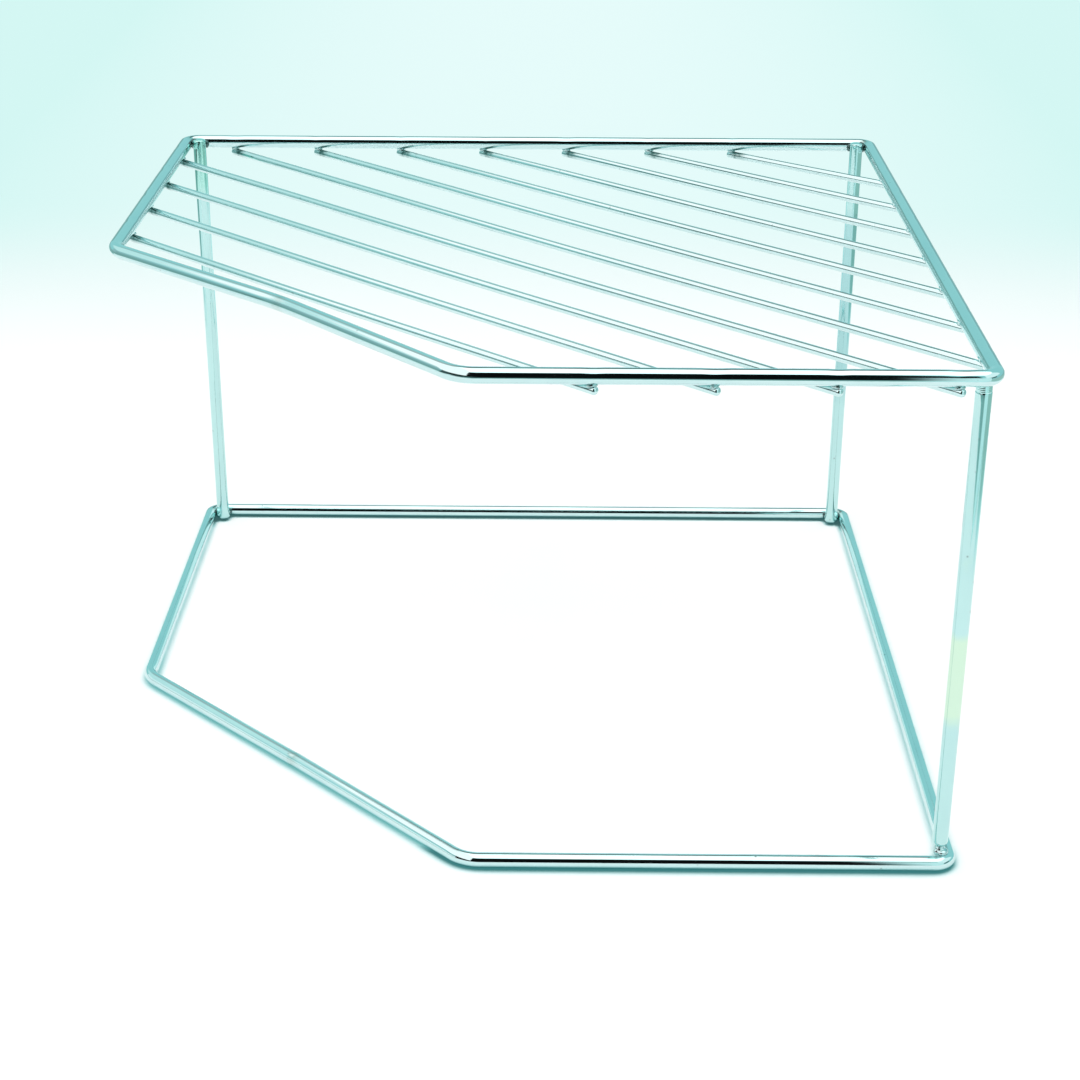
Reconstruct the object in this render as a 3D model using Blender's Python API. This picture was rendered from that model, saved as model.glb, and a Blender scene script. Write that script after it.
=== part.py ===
"""Corner cabinet rack of chrome-plated steel wire.

Two five-sided wire rings lie one above the other and three upright legs hold them apart. Straight thin wires run
along the diagonal front edge, are welded to the underside of the upper ring and carry what stands on it.
The right angle of the rings fits the corner of a cabinet and the diagonal faces the user.

Lengths are in metres and +Z is up. The back of the rack faces +Y, its right side +X, and the origin is the
middle of its footprint at floor level.
"""

import math

import bmesh
import bpy
from mathutils import Matrix, Vector

# Outer sizes of the rack
OVERALL_WIDTH = 0.254  # over the outside of the rings, the same along X and along Y
OVERALL_HEIGHT = 0.152  # from the underside of the lower ring to the top of the upper ring

# Rings, bent from one length of wire each and butt welded in the middle of the diagonal
FRAME_WIRE = 0.0045  # diameter
SHORT_SIDE = 0.1395  # left side and front side, between corners on the centre line
SQUARE_BEND = 0.0045  # centre line radius of the three square corners
BLUNT_BEND = 0.011  # centre line radius at both ends of the diagonal
UPPER_WELD_PULL = 0.0042  # how far the upper weld has drawn the diagonal inwards
LOWER_WELD_PULL = 0.0006  # the same at the lower weld
WELD_LENGTH = 0.003  # length of the swelling round a butt weld
WELD_SWELL = 0.0002  # how far it stands out to each side; above and below, the weld is pressed flat
SQUARE_BEND_STEPS = 8
BLUNT_BEND_STEPS = 5
FRAME_FACETS = 16

# Legs, cut from straight wire with rounded ends
LEG_WIRE = 0.0045  # diameter
LEG_SIDE_GAP = 0.0005  # from a back leg to the side bar that it stands beside
LEG_END_INSET = 0.0004  # from a back leg's ends to the outer faces of the rings
FRONT_LEG_INSET = 0.0029  # from the front leg's axis to the centre lines of both bars of its corner
FRONT_LEG_LIFT = 0.002  # room for the weld bead between the front leg's ends and the rings
LEG_TIP_SHARE = 0.8  # radius of a rounded end, of the leg's own radius
LEG_FACETS = 16
LEG_TIP_STEPS = 4

# Shelf wires. Each one crosses two bars of the upper ring. On each bar they lie evenly spaced between a first and a last
# one, whose places are shares of the bar's length, counted from its left or front corner
SHELF_WIRE = 0.0025  # diameter
SHORT_BAR_WIRES = 4  # wires from the left bar to the front bar
LONG_BAR_WIRES = 7  # wires from the back bar to the right bar
LEFT_BAR_SHARES = (0.193, 0.886)
FRONT_BAR_SHARES = (0.25, 0.93)
BACK_BAR_SHARES = (0.07, 0.8)
RIGHT_BAR_SHARES = (0.081, 0.834)
SHELF_END_OVERHANG = 0.0012  # how far a wire runs on past the centre line of the bar above it, square to the bar
SHELF_TIP_SHARE = 0.6  # radius of a wire's rounded end, of its own radius
SHELF_FACETS = 12
SHELF_TIP_STEPS = 2

# Weld beads that hold the legs
BEAD_DIAMETER = 0.0042  # bead in the groove between a back leg and the back bar
BEAD_STANDOFF = 0.0022  # from a back leg's axis to the middle of its bead
FRONT_BEAD_DIAMETER = 0.0056  # bead between an end of the front leg and its ring
BEAD_SEGMENTS = 16
BEAD_RINGS = 10

# Clearance that touching pieces keep
SEAT_GAP = 0.0003

SHARP_EDGE = math.radians(40)

# Places that follow from the sizes
HALF_SIDE = (OVERALL_WIDTH - FRAME_WIRE) / 2
LOWER_LEVEL = FRAME_WIRE / 2
UPPER_LEVEL = OVERALL_HEIGHT - FRAME_WIRE / 2
SHELF_LEVEL = UPPER_LEVEL - FRAME_WIRE / 2 - SHELF_WIRE / 2 - SEAT_GAP
BACK_LEG_Y = HALF_SIDE - (FRAME_WIRE + LEG_WIRE) / 2 - SEAT_GAP
BACK_LEG_X = HALF_SIDE - (FRAME_WIRE + LEG_WIRE) / 2 - LEG_SIDE_GAP
FRONT_LEG_X = HALF_SIDE - FRONT_LEG_INSET
FRONT_LEG_Y = FRONT_LEG_INSET - HALF_SIDE


def clear_scene():
    """Remove whatever the scene holds."""
    for item in list(bpy.data.objects):
        bpy.data.objects.remove(item, do_unlink=True)


def metal(name, colour, roughness):
    """Make a plated metal surface of the given linear colour and roughness."""
    material = bpy.data.materials.new(name)
    material.use_nodes = True
    surface = material.node_tree.nodes["Principled BSDF"]
    surface.inputs["Base Color"].default_value = (*colour, 1)
    surface.inputs["Metallic"].default_value = 1
    surface.inputs["Roughness"].default_value = roughness
    return material


def add_object(name, shape, rack, material=None):
    """Turn a bmesh into a named object under the rack, shaded smooth except at its sharp edges."""
    mesh = bpy.data.meshes.new(name)
    shape.to_mesh(mesh)
    shape.free()
    mesh.shade_smooth()
    mesh.set_sharp_from_angle(angle=SHARP_EDGE)
    if material:
        mesh.materials.append(material)
    item = bpy.data.objects.new(name, mesh)
    bpy.context.scene.collection.objects.link(item)
    item.parent = rack
    return item


def cross_section(shape, place, heading, diameter, facets):
    """Add an open loop of edges square to the heading, with a flat side at its top and at its bottom."""
    side = heading.cross(Vector((0, 0, 1)))
    turned = Matrix.Rotation(math.pi / facets, 4, "Z")
    frame = Matrix((side, heading.cross(side), heading)).transposed().to_4x4()
    made = bmesh.ops.create_circle(
        shape,
        cap_ends=False,
        segments=facets,
        radius=diameter / 2 / math.cos(math.pi / facets),
        matrix=Matrix.Translation(place) @ frame @ turned,
    )
    return list({edge for vert in made["verts"] for edge in vert.link_edges})


def extrude_loop(shape, loop, step):
    """Draw a loop of edges out by a vector and return the loop at the new end."""
    made = bmesh.ops.extrude_edge_only(shape, edges=loop)["geom"]
    verts = {item for item in made if isinstance(item, bmesh.types.BMVert)}
    bmesh.ops.translate(shape, verts=list(verts), vec=step)
    return [item for item in made if isinstance(item, bmesh.types.BMEdge) and verts.issuperset(item.verts)]


def bend_loop(shape, loop, centre, angle, steps):
    """Turn a loop of edges clockwise round an upright axis and return the loop at the new end."""
    made = bmesh.ops.spin(shape, geom=loop, cent=centre, axis=(0, 0, -1), angle=angle, steps=steps)
    return [item for item in made["geom_last"] if isinstance(item, bmesh.types.BMEdge)]


def widen_loop(shape, loop, place, direction, factor):
    """Stretch a loop of edges along one level direction about a place on its axis."""
    turned = Matrix.Rotation(math.atan2(direction.y, direction.x), 4, "Z")
    verts = list({vert for edge in loop for vert in edge.verts})
    space = (Matrix.Translation(place) @ turned).inverted()
    bmesh.ops.scale(shape, vec=(factor, 1, 1), verts=verts, space=space)


def ring_corners():
    """List a ring's corners with bend radius and steps, clockwise from the left end of the diagonal."""
    near = HALF_SIDE - SHORT_SIDE
    return [
        (Vector((-HALF_SIDE, near, 0)), BLUNT_BEND, BLUNT_BEND_STEPS),
        (Vector((-HALF_SIDE, HALF_SIDE, 0)), SQUARE_BEND, SQUARE_BEND_STEPS),
        (Vector((HALF_SIDE, HALF_SIDE, 0)), SQUARE_BEND, SQUARE_BEND_STEPS),
        (Vector((HALF_SIDE, -HALF_SIDE, 0)), SQUARE_BEND, SQUARE_BEND_STEPS),
        (Vector((near, -HALF_SIDE, 0)), BLUNT_BEND, BLUNT_BEND_STEPS),
    ]


def bent_ring(diameter, weld_pull):
    """Bend a wire round the five corners and close it at the butt weld in the middle of the diagonal."""
    corners = ring_corners()
    chord = (corners[0][0] - corners[-1][0]).normalized()
    inward = Vector((chord.y, -chord.x, 0))
    weld = (corners[0][0] + corners[-1][0]) / 2 + inward * weld_pull
    targets = [corner for corner, _, _ in corners[1:]] + [weld]

    shape = bmesh.new()
    heading = (corners[0][0] - weld).normalized()
    place = weld + heading * WELD_LENGTH / 2
    first = cross_section(shape, place, heading, diameter, FRAME_FACETS)
    loop = first
    for (corner, radius, steps), target in zip(corners, targets):
        leaving = (target - corner).normalized()
        turn = heading.angle(leaving)
        tangent = radius * math.tan(turn / 2)
        loop = extrude_loop(shape, loop, corner - heading * tangent - place)
        centre = corner - heading * tangent + Vector((heading.y, -heading.x, 0)) * radius
        loop = bend_loop(shape, loop, centre, turn, steps)
        heading = leaving
        place = corner + heading * tangent
    loop = extrude_loop(shape, loop, weld - heading * WELD_LENGTH / 2 - place)

    seam = cross_section(shape, weld, chord, diameter, FRAME_FACETS)
    widen_loop(shape, seam, weld, inward, 1 + 2 * WELD_SWELL / diameter)
    bmesh.ops.bridge_loops(shape, edges=loop + seam)
    bmesh.ops.bridge_loops(shape, edges=seam + first)
    bmesh.ops.recalc_face_normals(shape, faces=shape.faces)
    return shape


def round_rod(diameter, length, tip_share, facets, tip_steps, upright):
    """Make a straight wire with rounded ends about its own middle, upright or lying along X."""
    shape = bmesh.new()
    lay = Matrix.Identity(4) if upright else Matrix.Rotation(math.pi / 2, 4, "Y")
    radius = diameter / 2 / math.cos(math.pi / facets)
    bmesh.ops.create_cone(
        shape,
        cap_ends=True,
        segments=facets,
        radius1=radius,
        radius2=radius,
        depth=length,
        matrix=lay @ Matrix.Rotation(math.pi / facets, 4, "Z"),
    )
    caps = [face for face in shape.faces if len(face.verts) == facets]
    rims = list({edge for face in caps for edge in face.edges})
    bmesh.ops.bevel(
        shape,
        geom=rims,
        offset=diameter / 2 * tip_share,
        segments=tip_steps,
        profile=0.5,
        affect="EDGES",
        clamp_overlap=True,
    )
    return shape


def ball(diameter):
    """Make a round bead about its own middle."""
    shape = bmesh.new()
    bmesh.ops.create_uvsphere(shape, u_segments=BEAD_SEGMENTS, v_segments=BEAD_RINGS, radius=diameter / 2)
    return shape


def add_ring(name, level, weld_pull, rack, material):
    """Add one bent ring at a level above the floor."""
    ring = add_object(name, bent_ring(FRAME_WIRE, weld_pull), rack, material)
    ring.location.z = level
    return ring


def leg_sizes():
    """Give each leg's name with its place and its lower and upper end."""
    back = (LEG_END_INSET, OVERALL_HEIGHT - LEG_END_INSET)
    front = (FRAME_WIRE + FRONT_LEG_LIFT, OVERALL_HEIGHT - FRAME_WIRE - FRONT_LEG_LIFT)
    return {
        "back_left": (-BACK_LEG_X, BACK_LEG_Y, *back),
        "back_right": (BACK_LEG_X, BACK_LEG_Y, *back),
        "front_right": (FRONT_LEG_X, FRONT_LEG_Y, *front),
    }


def leg_rod(diameter, low, high):
    """Make a leg's rod between two levels."""
    return round_rod(diameter, high - low, LEG_TIP_SHARE, LEG_FACETS, LEG_TIP_STEPS, upright=True)


def add_legs(rack, material):
    """Add the three upright legs."""
    for name, (x, y, low, high) in leg_sizes().items():
        leg = add_object(f"leg_{name}", leg_rod(LEG_WIRE, low, high), rack, material)
        leg.location = (x, y, (low + high) / 2)


def crossings(start, end, shares, count):
    """List evenly spaced places on a bar that runs from start to end, between two shares of its length."""
    first, last = shares
    return [start.lerp(end, first + (last - first) * index / (count - 1)) for index in range(count)]


def shelf_wire_ends():
    """List where each wire crosses the centre lines of its two bars, from the diagonal to the back right corner."""
    left_front, back_left, back_right, front_right, front_mid = (
        Vector((corner.x, corner.y, SHELF_LEVEL)) for corner, _, _ in ring_corners()
    )
    short = zip(
        crossings(left_front, back_left, LEFT_BAR_SHARES, SHORT_BAR_WIRES),
        crossings(front_mid, front_right, FRONT_BAR_SHARES, SHORT_BAR_WIRES),
    )
    long = zip(
        crossings(back_left, back_right, BACK_BAR_SHARES, LONG_BAR_WIRES),
        crossings(front_right, back_right, RIGHT_BAR_SHARES, LONG_BAR_WIRES),
    )
    return [*short, *long]


def add_shelf_wires(rack, material):
    """Add the straight wires under the upper ring, numbered from the diagonal to the back right corner."""
    for number, (start, end) in enumerate(shelf_wire_ends(), 1):
        along = end - start
        length = along.length + 2 * SHELF_END_OVERHANG * math.sqrt(2)
        rod = round_rod(SHELF_WIRE, length, SHELF_TIP_SHARE, SHELF_FACETS, SHELF_TIP_STEPS, upright=False)
        wire = add_object(f"shelf_wire_{number:02d}", rod, rack, material)
        wire.location = (start + end) / 2
        wire.rotation_euler.z = math.atan2(along.y, along.x)


def add_cutter(name, shape, rack, place):
    """Add a grown copy of a piece, which only cuts room for that piece."""
    cutter = add_object(name, shape, rack)
    cutter.location = place
    cutter.hide_render = True
    cutter.display_type = "WIRE"
    return cutter


def add_bead(name, diameter, place, cutters, rack, material):
    """Add a weld bead that fills the groove between the pieces that it joins."""
    bead = add_object(name, ball(diameter), rack, material)
    bead.location = place
    for cutter in cutters:
        cut = bead.modifiers.new(cutter.name, "BOOLEAN")
        cut.operation = "DIFFERENCE"
        cut.solver = "EXACT"
        cut.object = cutter


def bead_places(name, x, y, low, high):
    """Give the middle of a leg's lower and upper bead, and the beads' diameter."""
    if name == "front_right":
        lift = FRONT_LEG_LIFT / 2
        return (x, y, low - lift), (x, y, high + lift), FRONT_BEAD_DIAMETER
    toward_middle = math.copysign(BEAD_STANDOFF, -x)
    groove = y + LEG_WIRE / 2
    return (x + toward_middle, groove, LOWER_LEVEL), (x + toward_middle, groove, UPPER_LEVEL), BEAD_DIAMETER


def add_beads(rack, material):
    """Add two weld beads to each leg, cut to the leg and to the rings."""
    grown_frame = FRAME_WIRE + 2 * SEAT_GAP
    lower = add_cutter("cut_lower_ring", bent_ring(grown_frame, LOWER_WELD_PULL), rack, (0, 0, LOWER_LEVEL))
    upper = add_cutter("cut_upper_ring", bent_ring(grown_frame, UPPER_WELD_PULL), rack, (0, 0, UPPER_LEVEL))
    for name, (x, y, low, high) in leg_sizes().items():
        rod = leg_rod(LEG_WIRE + 2 * SEAT_GAP, low - SEAT_GAP, high + SEAT_GAP)
        leg = add_cutter(f"cut_leg_{name}", rod, rack, (x, y, (low + high) / 2))
        lower_place, upper_place, diameter = bead_places(name, x, y, low, high)
        add_bead(f"weld_{name}_lower", diameter, lower_place, (lower, leg), rack, material)
        add_bead(f"weld_{name}_upper", diameter, upper_place, (upper, leg), rack, material)


def build_rack():
    """Build the whole rack under one empty."""
    clear_scene()
    rack = bpy.data.objects.new("corner_rack", None)
    bpy.context.scene.collection.objects.link(rack)
    ring_metal = metal("ring_chrome", (0.72, 0.83, 0.83), 0.08)
    leg_metal = metal("leg_chrome", (0.74, 0.84, 0.84), 0.1)
    shelf_metal = metal("shelf_wire_chrome", (0.78, 0.86, 0.86), 0.1)
    weld_metal = metal("weld_chrome", (0.55, 0.66, 0.66), 0.3)
    add_ring("upper_ring", UPPER_LEVEL, UPPER_WELD_PULL, rack, ring_metal)
    add_ring("lower_ring", LOWER_LEVEL, LOWER_WELD_PULL, rack, ring_metal)
    add_legs(rack, leg_metal)
    add_shelf_wires(rack, shelf_metal)
    add_beads(rack, weld_metal)


build_rack()
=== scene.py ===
"""Looks of a corner cabinet rack of bright plated steel wire.

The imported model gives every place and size. Each wire is drawn out again here with a round section, true bends,
welded ends and the slight marks of the tools that made it, and gets a plated finish. Lengths are in metres, +Z is up
and the front of the rack faces -Y.
"""

import logging
import math
from collections.abc import Callable, Iterator
from contextlib import contextmanager
from dataclasses import dataclass, field, replace
from enum import Enum

import bmesh
import bpy
from mathutils import Matrix, Vector

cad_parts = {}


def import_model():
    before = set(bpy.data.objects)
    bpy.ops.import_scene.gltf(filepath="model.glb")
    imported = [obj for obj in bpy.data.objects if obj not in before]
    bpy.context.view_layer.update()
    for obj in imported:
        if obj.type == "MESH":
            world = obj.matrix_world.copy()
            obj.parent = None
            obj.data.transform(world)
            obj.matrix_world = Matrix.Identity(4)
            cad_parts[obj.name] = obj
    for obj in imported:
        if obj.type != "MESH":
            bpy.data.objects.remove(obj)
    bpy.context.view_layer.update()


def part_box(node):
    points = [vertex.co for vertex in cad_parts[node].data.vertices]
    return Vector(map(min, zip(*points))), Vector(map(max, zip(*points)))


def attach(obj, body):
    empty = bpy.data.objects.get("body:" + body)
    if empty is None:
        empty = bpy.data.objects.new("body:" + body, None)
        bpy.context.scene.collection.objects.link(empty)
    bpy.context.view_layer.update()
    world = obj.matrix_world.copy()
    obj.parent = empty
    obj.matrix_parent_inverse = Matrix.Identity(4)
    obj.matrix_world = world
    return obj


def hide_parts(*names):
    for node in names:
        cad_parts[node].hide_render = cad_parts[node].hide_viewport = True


Piece = bpy.types.Object
Socket = bpy.types.NodeSocket
Tree = bpy.types.NodeTree
Triple = tuple[float, float, float]

LOG = logging.getLogger("corner_rack")
UP = Vector((0, 0, 1))

HALF_SIDE = 0.12475  # from the middle of the rack to the centre line of a long bar
SHORT_SIDE = 0.1395  # centre line length of the left and the front bar
FRAME_WIRE = 0.0045
SHELF_WIRE = 0.0025
SEAT_GAP = 0.0003


class Level(Enum):
    """Which of the two rings a part belongs to."""

    LOWER = "lower"
    UPPER = "upper"


def ring_corners(height: float) -> list[Vector]:
    """List a ring's corners at a height, clockwise from the left end of the diagonal."""
    far, near = HALF_SIDE, HALF_SIDE - SHORT_SIDE
    return [Vector((*place, height)) for place in ((-far, near), (-far, far), (far, far), (far, -far), (near, -far))]


class LegPlace(Enum):
    """The corner that a leg stands in."""

    BACK_LEFT = "back_left"
    BACK_RIGHT = "back_right"
    FRONT_RIGHT = "front_right"


# --- Modelling helpers ---


def pick_only(piece: Piece) -> None:
    """Select one object alone and make it the active one.

    Args:
        piece: The object.
    """
    bpy.ops.object.select_all(action="DESELECT")
    piece.select_set(True)
    bpy.context.view_layer.objects.active = piece


@contextmanager
def editing(piece: Piece) -> Iterator[None]:
    """Open a piece in edit mode with nothing selected, and close it again.

    Args:
        piece: The mesh object to edit.
    """
    pick_only(piece)
    bpy.ops.object.mode_set(mode="EDIT")
    bpy.ops.mesh.select_mode(type="VERT")
    bpy.ops.mesh.select_all(action="DESELECT")
    yield
    bpy.ops.object.mode_set(mode="OBJECT")


def select(piece: Piece, test: Callable[..., bool], edges: bool = False) -> int:
    """Select the points or the edges of an open piece by their places.

    Args:
        piece: The object that is open in edit mode.
        test: Says of a point's place, or of the places of an edge's two ends, whether it is wanted.
        edges: Whether edges are meant.

    Returns:
        How many are selected.
    """
    bpy.ops.mesh.select_mode(type="EDGE" if edges else "VERT")
    mesh = bmesh.from_edit_mesh(piece.data)
    parts = [(edge, edge.verts) for edge in mesh.edges] if edges else [(vert, (vert,)) for vert in mesh.verts]
    found = 0
    for part, ends in parts:
        wanted = test(*(end.co for end in ends))
        part.select_set(wanted)
        found += wanted
    mesh.select_flush_mode()
    bmesh.update_edit_mesh(piece.data)
    return found


def divide_long_edges(piece: Piece, spacing: float) -> None:
    """Cut each group of equally long edges into short ones.

    Args:
        piece: The mesh object to change.
        spacing: Length that the new edges come close to.
    """
    points = piece.data.vertices
    lengths = {round((points[e.vertices[0]].co - points[e.vertices[1]].co).length, 4) for e in piece.data.edges}
    for length in sorted(length for length in lengths if length > 3 * spacing):
        with editing(piece):
            select(piece, lambda a, b: abs((a - b).length - length) < 0.00011, edges=True)
            bpy.ops.mesh.subdivide(number_cuts=int(length / spacing))


def settle(piece: Piece) -> None:
    """Put a piece's place and turn into its mesh."""
    pick_only(piece)
    bpy.ops.object.transform_apply(location=True, rotation=True, scale=True)


def use_modifier(piece: Piece, kind: str, **values: object) -> None:
    """Add a modifier with the given settings and apply it.

    Args:
        piece: The mesh object to change.
        kind: Blender's name of the modifier type.
        **values: The modifier's settings.
    """
    pick_only(piece)
    modifier = piece.modifiers.new(kind.lower(), kind)
    for key, value in values.items():
        setattr(modifier, key, value)
    bpy.ops.object.modifier_apply(modifier=modifier.name)


def softly(size: float) -> dict[str, object]:
    """Give the settings that let a move or resize fade out over a distance."""
    return {"use_proportional_edit": True, "proportional_edit_falloff": "SMOOTH", "proportional_size": size}


def smooth(piece: Piece, angle: float = 50) -> None:
    """Shade a piece smooth, except at edges sharper than an angle in degrees."""
    pick_only(piece)
    bpy.ops.object.shade_smooth_by_angle(angle=math.radians(angle))


def join(name: str, parts: list[Piece]) -> Piece:
    """Join several objects into the first one and rename it.

    Args:
        name: The new name.
        parts: The objects.

    Returns:
        The joined object.
    """
    pick_only(parts[0])
    for part in parts[1:]:
        part.select_set(True)
    if len(parts) > 1:
        bpy.ops.object.join()
    parts[0].name = parts[0].data.name = name
    return parts[0]


def round_rod(
    name: str, start: Vector, end: Vector, diameter: float, facets: int, tips: tuple[float, float], tip_steps: int
) -> Piece:
    """Make a straight wire with rounded ends.

    Args:
        name: Name of the new object.
        start: Middle of one end face.
        end: Middle of the other end face.
        diameter: Diameter of the wire.
        facets: Number of sides of its section.
        tips: Radii that its two end rims are rounded to, the start's first.
        tip_steps: Number of facets along that rounding.

    Returns:
        The wire's object, at the origin.
    """
    along = end - start
    bpy.ops.mesh.primitive_cylinder_add(
        vertices=facets,
        radius=diameter / 2,
        depth=along.length,
        location=(start + end) / 2,
        rotation=along.to_track_quat("Z", "Y").to_euler(),
    )
    rod = bpy.context.object
    rod.name = rod.data.name = name
    settle(rod)
    heading = along.normalized()
    for rim, tip in zip((start.dot(heading), end.dot(heading)), tips):
        with editing(rod):
            select(rod, lambda a, b: max(abs(a.dot(heading) - rim), abs(b.dot(heading) - rim)) < 1e-6, edges=True)
            bpy.ops.mesh.bevel(offset=tip, segments=tip_steps, profile=0.5, affect="EDGES")
    return rod


class WireRun:
    """A wire drawn out station by station, straight or round bends, as a wire bender does it."""

    def __init__(self, name: str, diameter: float, facets: int, place: Vector, heading: Vector) -> None:
        """Lay the first cross-section square to the heading.

        Args:
            name: Name of the new object.
            diameter: Diameter of the wire.
            facets: Number of sides of its section.
            place: Middle of the first cross-section.
            heading: Unit vector that the wire sets out along.
        """
        self.place = place.copy()
        self.heading = heading.copy()
        self.width = 1.0
        bpy.ops.mesh.primitive_circle_add(
            vertices=facets, radius=diameter / 2, location=place, rotation=heading.to_track_quat("Z", "Y").to_euler()
        )
        self.wire = bpy.context.object
        self.wire.name = self.wire.data.name = name
        settle(self.wire)
        bpy.ops.object.mode_set(mode="EDIT")
        bpy.ops.mesh.select_mode(type="EDGE")
        bpy.ops.mesh.select_all(action="SELECT")

    def across(self) -> Vector:
        """Give the level direction square to the wire, to its right."""
        return self.heading.cross(UP)

    def straight(self, step: Vector) -> None:
        """Draw the wire on along a vector."""
        bpy.ops.mesh.extrude_region_move(TRANSFORM_OT_translate={"value": step})
        self.place += step

    def widen(self, width: float) -> None:
        """Bring the last cross-section to a width.

        Args:
            width: Its width, as a share of the wire's own.
        """
        axes = Matrix((self.across(), UP, self.heading)).transposed()
        bpy.ops.transform.resize(
            value=(width / self.width, 1, 1),
            orient_type="NORMAL",
            orient_matrix=axes,
            orient_matrix_type="NORMAL",
            center_override=self.place,
        )
        self.width = width

    def bend(self, angle: float, radius: float, steps: int, thinning: float = 0) -> None:
        """Bend the wire to the right in a level arc.

        Args:
            angle: Angle of the bend.
            radius: Radius of the centre line.
            steps: Number of stations round the bend.
            thinning: Share of its width that the section loses in the middle of the bend.
        """
        centre = self.place + self.across() * radius
        for step in range(1, steps + 1):
            bpy.ops.mesh.spin(steps=1, angle=angle / steps, center=centre, axis=(0, 0, 1))
            turned = Matrix.Rotation(-angle / steps, 3, "Z")
            self.place = centre + turned @ (self.place - centre)
            self.heading = turned @ self.heading
            self.widen(1 - thinning * math.sin(math.pi * step / steps) ** 2)

    def finish(self, closed: bool) -> Piece:
        """Close the wire, as a ring or with two flat ends, and leave edit mode.

        Args:
            closed: Whether the last section joins the first one.

        Returns:
            The wire's object.
        """
        bpy.ops.mesh.select_all(action="DESELECT")
        bpy.ops.mesh.select_mode(type="EDGE")
        bpy.ops.mesh.select_non_manifold(extend=False, use_wire=False, use_multi_face=False, use_verts=False)
        if closed:
            bpy.ops.mesh.bridge_edge_loops()
        else:
            bpy.ops.mesh.edge_face_add()
        bpy.ops.mesh.select_all(action="SELECT")
        bpy.ops.mesh.remove_doubles(threshold=1e-7)
        bpy.ops.mesh.normals_make_consistent(inside=False)
        bpy.ops.object.mode_set(mode="OBJECT")
        return self.wire


# --- Finishes ---


class Graph:
    """A shorthand for wiring shader nodes."""

    def __init__(self, tree: Tree) -> None:
        """Start from an empty node tree."""
        self.tree = tree
        tree.nodes.clear()

    def node(self, kind: str, inputs: dict[str | int, object] | None = None, **settings: object) -> bpy.types.Node:
        """Add a node, set its properties, and feed its inputs with values or with other nodes' outputs.

        Args:
            kind: Identifier of the node type, without its "ShaderNode" prefix where it has one.
            inputs: Values or output sockets by input name or number.
            **settings: Properties of the node.

        Returns:
            The new node.
        """
        full = kind if kind.startswith("Node") else f"ShaderNode{kind}"
        node = self.tree.nodes.new(full)
        for key, value in settings.items():
            setattr(node, key, value)
        for key, value in (inputs or {}).items():
            if isinstance(value, Socket):
                self.tree.links.new(value, node.inputs[key])
            else:
                node.inputs[key].default_value = value
        return node

    def math(self, operation: str, *values: object, clamp: bool = False) -> Socket:
        """Add a math node and give its output."""
        return self.node("Math", dict(enumerate(values)), operation=operation, use_clamp=clamp).outputs[0]

    def times(self, *values: object, clamp: bool = False) -> Socket:
        """Multiply two values."""
        return self.math("MULTIPLY", *values, clamp=clamp)

    def plus(self, *values: object) -> Socket:
        """Add two values."""
        return self.math("ADD", *values)

    def minus(self, *values: object, clamp: bool = False) -> Socket:
        """Take the second value from the first."""
        return self.math("SUBTRACT", *values, clamp=clamp)

    def larger(self, *values: object) -> Socket:
        """Give the larger of two values."""
        return self.math("MAXIMUM", *values)

    def ramp(self, value: Socket, low: float, high: float) -> Socket:
        """Rise smoothly from 0 to 1 between two values."""
        settings = {0: value, 1: low, 2: high, 3: 0.0, 4: 1.0}
        return self.node("MapRange", settings, interpolation_type="SMOOTHSTEP").outputs[0]

    def blend(self, share: object, first: object, second: object) -> Socket:
        """Mix two colours by a share and give the result."""
        mixed = self.node("Mix", {"Factor": share, "A": first, "B": second}, data_type="RGBA")
        return mixed.outputs["Result"]


def new_group(name: str, inputs: dict[str, tuple[str, object]], outputs: dict[str, str]) -> Tree:
    """Make an empty shader node group.

    Args:
        name: Name of the group.
        inputs: Socket type and default value by input name.
        outputs: Socket type by output name.

    Returns:
        The group's node tree.
    """
    group = bpy.data.node_groups.new(name, "ShaderNodeTree")
    for key, (kind, value) in inputs.items():
        socket = group.interface.new_socket(key, in_out="INPUT", socket_type=kind)
        socket.default_value = value
    for key, kind in outputs.items():
        group.interface.new_socket(key, in_out="OUTPUT", socket_type=kind)
    return group


def plating_skin_group() -> Tree:
    """Build the group that gives the plating its slow ripple, fine pits and cloudy film.

    Returns:
        The group's node tree.
    """
    group = new_group(
        "plating_skin",
        {"Ripple": ("NodeSocketFloat", 1.0), "Pits": ("NodeSocketFloat", 1.0)},
        {"Height": "NodeSocketFloat", "Film": "NodeSocketFloat", "Pit": "NodeSocketFloat"},
    )
    g = Graph(group)
    given = g.node("NodeGroupInput").outputs
    place = g.node("TexCoord").outputs["Object"]
    swell = g.node("TexNoise", {"Vector": place, "Scale": 90.0, "Detail": 1.0, "Roughness": 0.4}).outputs["Fac"]
    peel = g.node("TexNoise", {"Vector": place, "Scale": 520.0, "Detail": 2.0, "Roughness": 0.5}).outputs["Fac"]
    film = g.node("TexNoise", {"Vector": place, "Scale": 38.0, "Detail": 4.0, "Roughness": 0.6}).outputs["Fac"]
    spots = g.node("TexVoronoi", {"Vector": place, "Scale": 420.0, "Randomness": 1.0}, feature="F1")
    pit = g.minus(1.0, g.times(spots.outputs["Distance"], 5.5), clamp=True)
    rare = g.math("GREATER_THAN", g.node("SeparateColor", {0: spots.outputs["Color"]}).outputs[0], 0.93)
    pit = g.times(g.times(pit, rare), given["Pits"])
    waves = g.plus(g.times(swell, 3.0), g.times(peel, 0.03))
    waves = g.times(waves, given["Ripple"])
    height = g.minus(waves, g.times(pit, 0.25))
    g.node("NodeGroupOutput", {"Height": height, "Film": film, "Pit": pit})
    return group


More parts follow.
